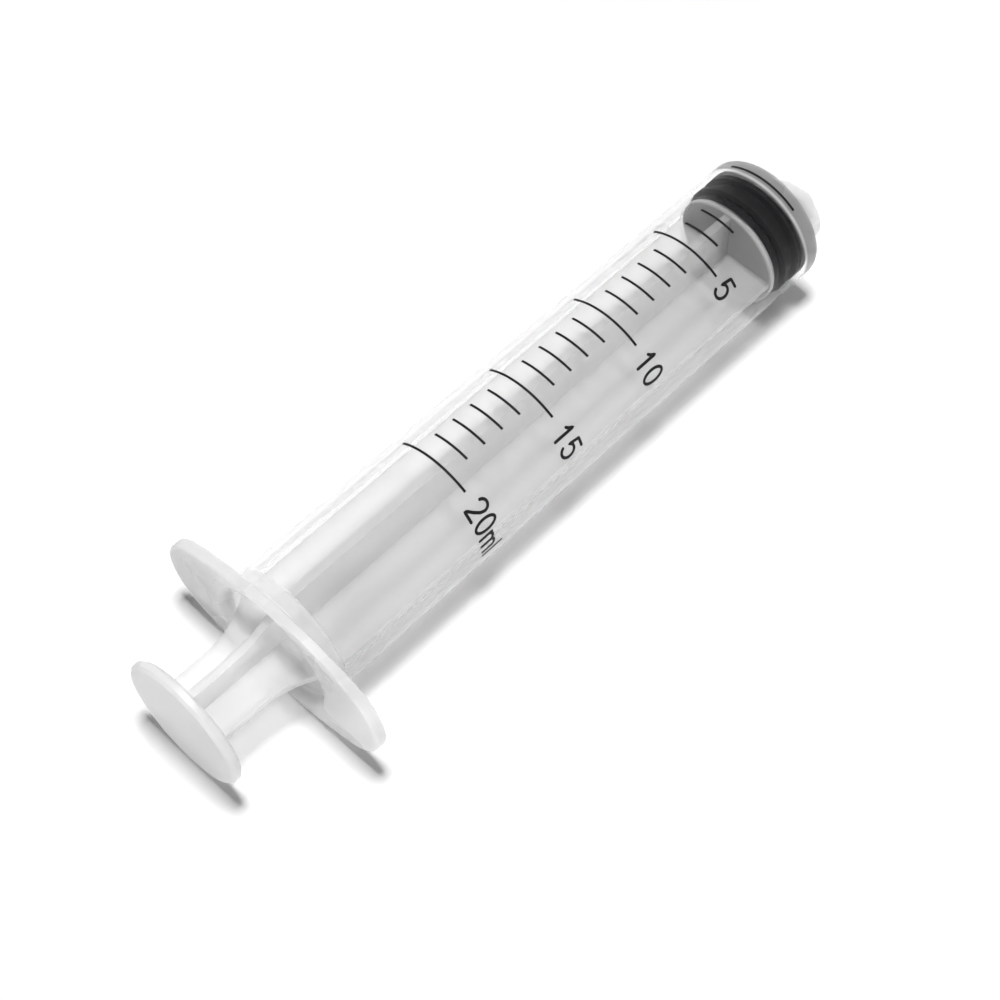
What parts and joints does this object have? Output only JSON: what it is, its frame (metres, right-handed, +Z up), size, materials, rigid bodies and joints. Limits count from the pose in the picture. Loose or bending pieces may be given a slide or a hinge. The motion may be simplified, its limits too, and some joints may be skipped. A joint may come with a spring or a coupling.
{
  "type": "luer lock syringe",
  "caption": "Disposable plastic syringe lying on its side, with an off-centre luer lock tip, oval finger flange, ribbed plunger rod and black rubber stopper.",
  "frame": {"origin": "centre of the bounding box in X and Y, on the surface the syringe lies on", "axes": "+X along the barrel towards the luer tip, +Y across the finger flange, +Z up from the surface to the printed scale"},
  "size_m": [0.1294, 0.0412, 0.0214],
  "materials": {
    "clear_polypropylene": "gloss",
    "milky_polypropylene": "satin",
    "black_rubber": "satin"
  },
  "bodies": {
    "barrel_body": {"barrel": "clear_polypropylene"},
    "stopper_body": {"rubber_stopper": "black_rubber"},
    "rod_body": {"plunger_rod": "milky_polypropylene"}
  },
  "joints": [
    {"name": "plunger_slide", "type": "slide", "parent": "barrel_body", "child": "stopper_body", "axis": [1, 0, 0], "range_m": [-0.092, 0.001]},
    {"name": "rod_turn", "type": "hinge", "parent": "stopper_body", "child": "rod_body", "pos_m": [0.047, 0, 0.0107], "axis": [1, 0, 0], "continuous": true}
  ]
}
